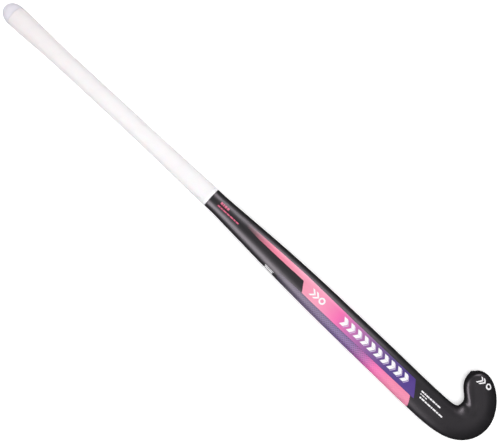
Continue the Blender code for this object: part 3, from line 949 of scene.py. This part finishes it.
# The area of the toe's emblem: corners as (station, q), in order round it. Places in it are (u, w).
TOE_AREA = ((0.9811, 0.385), (0.9613, 0.590), (0.9672, 0.785), (0.9911, 0.580))
TOE_RING = ((0.78, 0.50), 0.150, 0.080)
TOE_RING_STRETCH = 2.2
TOE_CHEVRONS = (0.14, 0.31)
TOE_CHEVRON_THICK = 0.10
TOE_CHEVRON_REACH = 0.14


def along_edge(edge, stations):
    """The y of an edge of the artwork at stations."""
    knots = np.array(edge)
    return np.interp(stations, knots[:, 0], knots[:, 1])


def patch(grid, lift, loop=False):
    """A thin closed film. grid holds rows of (station, q); with loop the rows join up in a ring."""
    rows = len(grid)
    columns = len(grid[0])
    flat = np.array(grid, float).reshape(-1, 2)
    low = lifted(flat[:, 0], flat[:, 1], np.full(len(flat), lift))
    high = lifted(flat[:, 0], flat[:, 1], np.full(len(flat), lift + INK_THICK))
    points = list(low) + list(high)
    top = rows * columns
    faces = []
    spans = rows if loop else rows - 1
    for r in range(spans):
        a = r * columns
        b = ((r + 1) % rows) * columns
        for c in range(columns - 1):
            faces.append((a + c, a + c + 1, b + c + 1, b + c))
            faces.append((top + a + c, top + b + c, top + b + c + 1, top + a + c + 1))
        for c in (0, columns - 1):
            faces.append((a + c, b + c, top + b + c, top + a + c))
    if not loop:
        for r in (0, rows - 1):
            a = r * columns
            for c in range(columns - 1):
                faces.append((a + c, a + c + 1, top + a + c + 1, top + a + c))
    return points, faces


def build_panel(material):
    """The main panel, whose far end is slanted."""
    corners = [at for at, _ in PANEL_LOW[:-1]]
    stations = np.unique(np.concatenate([spaced(*PANEL_SPAN, FILM_STEP), corners]))
    shares = np.linspace(0, 1, PANEL_COLUMNS + 1)
    grid = []
    for at, top, low in zip(stations, along_edge(PANEL_TOP, stations), along_edge(PANEL_LOW, stations)):
        y = top + (low - top) * shares
        grid.append([(at, q) for q in back_q(np.full(len(y), at), y)])
    film = patch(grid, INK_LIFT)
    new_piece("back_panel", film, material, ("back_panel_film",))


def build_band(material):
    """The band over the heel edge."""
    stations = spaced(*BAND_SPAN, FILM_STEP)
    starts = back_q(stations, along_edge(BAND_TOP, stations))
    shares = np.linspace(0, 1, BAND_COLUMNS + 1)
    grid = []
    for at, start in zip(stations, starts):
        grid.append([(at, start + (BAND_END_Q - start) * share) for share in shares])
    film = patch(grid, INK_LIFT)
    new_piece("heel_band", film, material, ("heel_band_film",))


def spread(corners, along, across):
    """Rows of spots that fill the area between four corners, given in order round it."""
    a, b, c, d = [np.array(corner, float) for corner in corners]
    rows = []
    for u in np.linspace(0, 1, along + 1):
        start = a + (b - a) * u
        end = d + (c - d) * u
        rows.append([start + (end - start) * v for v in np.linspace(0, 1, across + 1)])
    return rows


def bar(corners, along, across, lift):
    """A film on the back over four corners (station, y)."""
    grid = []
    for row in spread(corners, along, across):
        at, y = np.transpose(row)
        grid.append(list(zip(at, back_q(at, y))))
    return patch(grid, lift)


def back_ring(centre, outer, inner, steps=40):
    """A ring on the back round a centre (station, y)."""
    radii = np.linspace(inner, outer, 3)
    grid = []
    for k in range(steps):
        turn = 2 * math.pi * k / steps
        at = centre[0] + radii * math.cos(turn)
        y = centre[1] + radii * math.sin(turn)
        grid.append(list(zip(at, back_q(at, y))))
    return patch(grid, MARK_LIFT, loop=True)


def chevron(station, y, thick, reach, rise):
    """Two arms that meet on y and point down the stick, from a station on."""
    tip = station + reach
    high = y + CHEVRON_PARTING
    low = y - CHEVRON_PARTING
    upper = ((station, y + rise), (station + thick, y + rise), (tip + thick, high), (tip, high))
    lower = ((tip, low), (tip + thick, low), (station + thick, y - rise), (station, y - rise))
    return [bar(arm, 5, 9, MARK_LIFT) for arm in (upper, lower)]


def dashes(start, y, height, gap, lengths):
    """A row of dashes centred on y, from a station on."""
    high = y + height / 2
    low = y - height / 2
    row = []
    at = start
    for length in lengths:
        end = at + length
        row.append(bar(((at, high), (end, high), (end, low), (at, low)), 6, 3, INK_LIFT))
        at += length + gap
    return row


def toe_spot(u, w):
    """(station, q) in TOE_AREA: u runs back from the toe's tip, w towards the outer edge."""
    a, b, c, d = [np.array(corner) for corner in TOE_AREA]
    start = a + (b - a) * u
    end = d + (c - d) * u
    return start + (end - start) * w


def toe_bar(corners):
    """A film over four corners (u, w) of TOE_AREA."""
    grid = [[toe_spot(u, w) for u, w in row] for row in spread(corners, 6, 6)]
    return patch(grid, TOE_MARK_LIFT)


def toe_ring(centre, outer, inner, steps=48):
    """A ring round a centre (u, w), stretched in w so that it comes out round on the toe."""
    grid = []
    for k in range(steps):
        turn = 2 * math.pi * k / steps
        row = []
        for radius in np.linspace(inner, outer, 4):
            u = centre[0] + radius * math.cos(turn)
            w = centre[1] + radius * TOE_RING_STRETCH * math.sin(turn)
            row.append(toe_spot(u, w))
        grid.append(row)
    return patch(grid, TOE_MARK_LIFT, loop=True)


def build_panel_marks(white, lavender):
    """The row of chevrons, then the emblem: two chevrons and a ring on the pink part."""
    bars = []
    edges = []
    for k in range(CHEVRON_COUNT):
        back = CHEVRON_START + CHEVRON_PITCH * k
        middle = CHEVRON_Y + CHEVRON_DRIFT * k
        bars += chevron(back, middle, CHEVRON_THICK, CHEVRON_REACH, CHEVRON_RISE)
        edges += chevron(back + EDGE_AHEAD, middle - EDGE_DROP, EDGE_THICK, CHEVRON_REACH, CHEVRON_RISE)
    new_piece("panel_chevrons", joined(bars), white)
    new_piece("panel_chevron_edges", joined(edges), lavender)
    emblem = [back_ring(*PANEL_RING)]
    for sizes in EMBLEM_CHEVRONS:
        emblem += chevron(*sizes)
    new_piece("panel_emblem", joined(emblem), white)


def build_dashes(name, rows, material, node):
    """Rows of dashes in place of small print."""
    marks = []
    for row in rows:
        marks += dashes(*row)
    new_piece(name, joined(marks), material, node)


def build_toe_emblem(white):
    """A ring and two chevrons on the toe."""
    emblem = [toe_ring(*TOE_RING)]
    for start in TOE_CHEVRONS:
        end = start + TOE_CHEVRON_THICK
        tip = start + TOE_CHEVRON_REACH
        tip_end = tip + TOE_CHEVRON_THICK
        emblem.append(toe_bar(((start, 0.90), (end, 0.90), (tip_end, 0.53), (tip, 0.53))))
        emblem.append(toe_bar(((tip, 0.51), (tip_end, 0.51), (end, 0.14), (start, 0.14))))
    new_piece("toe_emblem", joined(emblem), white, ("toe_emblem_film",))


def build_edge_mark(white):
    """Three short bars on the heel side."""
    bars = [patch(spread(corners, 8, columns), INK_LIFT) for corners, columns in EDGE_MARK]
    new_piece("edge_mark", joined(bars), white, ("edge_mark_film",))


def build_face_film(name, area, material, node):
    """A film on the flat playing side, which repeats one of the back's in a plainer form."""
    stations, around = area
    columns = np.linspace(*around, FACE_COLUMNS + 1)
    grid = [[(at, q) for q in columns] for at in spaced(*stations, FACE_FILM_STEP)]
    new_piece(name, patch(grid, INK_LIFT), material, node)


def build_artwork(panel, band):
    """The printed films, and plain dashes, chevrons and rings for the marks."""
    white = ink_look("printed_white", (0.80, 0.79, 0.81), (0.84, 0.83, 0.85))
    lavender = ink_look("printed_lavender", (0.55, 0.44, 0.66), (0.60, 0.49, 0.70))
    pink = ink_look("printed_pink", (0.62, 0.07, 0.16), (0.68, 0.10, 0.20))
    build_panel(panel)
    build_band(band)
    build_panel_marks(white, lavender)
    build_dashes("spec_marks", SPEC_ROWS, white, ("spec_film",))
    build_dashes("model_marks", MODEL_ROWS, pink, ("model_film",))
    build_toe_emblem(white)
    build_edge_mark(white)
    build_face_film("face_panel", FACE_PANEL, panel, ("face_panel_film",))
    build_face_film("face_band", FACE_BAND, band, ("face_band_film",))


# ---------------------------------------------------------------- floor, light and camera
FLOOR_REACH = 6.0
WORLD_STRENGTH = 0.23


def build_floor():
    """A wide pale card under the stick, which glows a little so that it stays near white."""
    look = Look("floor_card")
    cloud = look.noise(3.0, 3.0)
    colour = look.mix(cloud, (0.93, 0.93, 0.93), (0.95, 0.95, 0.95))
    card = look.finish(
        colour, 0.9, look.bump(look.noise(200.0), 0.0001, 0.1), Specular_IOR_Level=0.1,
        Emission_Color=(1.0, 1.0, 1.0), Emission_Strength=0.30,
    )
    mesh = bpy.data.meshes.new("floor")
    corners = [(x * FLOOR_REACH, y * FLOOR_REACH, 0) for x, y in ((-1, -1), (1, -1), (1, 1), (-1, 1))]
    mesh.from_pydata(corners, [], [(0, 1, 2, 3)])
    mesh.materials.append(card)
    floor = bpy.data.objects.new("floor", mesh)
    floor.location.z = CAD_LOW.z
    floor.visible_glossy = False
    bpy.context.scene.collection.objects.link(floor)


# Softboxes: name, degrees from straight up towards the toe's side, distance, size along the stick and
# across it, power, place along the stick. The first three draw the highlights, the last one fills.
SOFTBOX_TINT = (1.0, 0.90, 0.99)
HIGHLIGHT_BOXES = (
    ("softbox_toe_side", 51, 1.4, (1.8, 0.60), 36, -0.18),
    ("softbox_heel_side", -54, 1.4, (2.0, 0.80), 57, -0.08),
    ("head_glow", 0, 1.1, (0.9, 1.1), 2.5, 1.2),
)
FILL_BOX = ("overhead_fill", 0, 1.9, (3.2, 2.6), 60, 0.0)


def add_softbox(name, angle, reach, size, power, along):
    """A softbox that faces the stick's axis from reach away."""
    light = bpy.data.lights.new(name, "AREA")
    light.shape = "RECTANGLE"
    light.size, light.size_y = size
    light.energy = power
    item = bpy.data.objects.new(name, light)
    bpy.context.scene.collection.objects.link(item)
    lean = math.radians(angle)
    item.location = Vector((along, reach * math.sin(lean), reach * math.cos(lean)))
    item.rotation_euler = (-lean, 0, 0)
    return item


def build_lights():
    """Tinted softboxes that only draw highlights, and a plain one that draws none."""
    for values in HIGHLIGHT_BOXES:
        box = add_softbox(*values)
        box.data.color = SOFTBOX_TINT
        box.visible_diffuse = False
    fill = add_softbox(*FILL_BOX)
    fill.visible_glossy = False


CAMERA_STATION = 0.4693
CAMERA_Y = 0.0086
CAMERA_HEIGHT = 0.975
CAMERA_LENS = 48.0
SENSOR_WIDTH = 36.0

# Cosine and sine of the camera's turn about the vertical
CAMERA_TURN = (0.73693, 0.67597)


def build_camera():
    """A camera straight above the middle of the stick."""
    camera = bpy.data.cameras.new("camera")
    camera.lens = CAMERA_LENS
    camera.sensor_width = SENSOR_WIDTH
    item = bpy.data.objects.new("camera", camera)
    bpy.context.scene.collection.objects.link(item)
    c, s = CAMERA_TURN
    turn = Matrix(((c, -s, 0), (s, c, 0), (0, 0, 1)))
    place = BUTT + Vector((CAMERA_STATION, CAMERA_Y, CAMERA_HEIGHT))
    item.matrix_world = Matrix.Translation(place) @ turn.to_4x4()
    bpy.context.scene.camera = item


def build_world():
    """Plain white surroundings that don't show in reflections."""
    world = bpy.data.worlds.new("studio")
    bpy.context.scene.world = world
    world.use_nodes = True
    back = world.node_tree.nodes["Background"]
    back.inputs["Color"].default_value = (1, 1, 1, 1)
    back.inputs["Strength"].default_value = WORLD_STRENGTH
    world.cycles_visibility.glossy = False


# Looks of the CAD pieces that stay as they are, all of them inside the stick
INNER_LOOKS = {
    "head_core": (foam_look, "rigid_foam"),
    "shaft_divider": (laminate_look, "bare_laminate"),
    "damping_sleeve": (silicone_look, "silicone"),
    "handle_plug": (plug_look, "plug_plastic"),
    "adhesive_tape": (adhesive_look, "adhesive_tape"),
}


def dress_inner_pieces():
    """Give the CAD's inner pieces their looks."""
    for name, (make, slot) in INNER_LOOKS.items():
        piece = bpy.data.objects[name]
        piece.data.materials.clear()
        piece.data.materials.append(make())


def main():
    build_shell(lacquer_look())
    build_grip(grip_look())
    build_tape(tape_look())
    build_cap(cap_look())
    build_artwork(panel_look(), band_look())
    dress_inner_pieces()
    build_floor()
    build_camera()
    build_world()
    build_lights()
    bpy.context.scene.view_settings.view_transform = "Standard"


main()
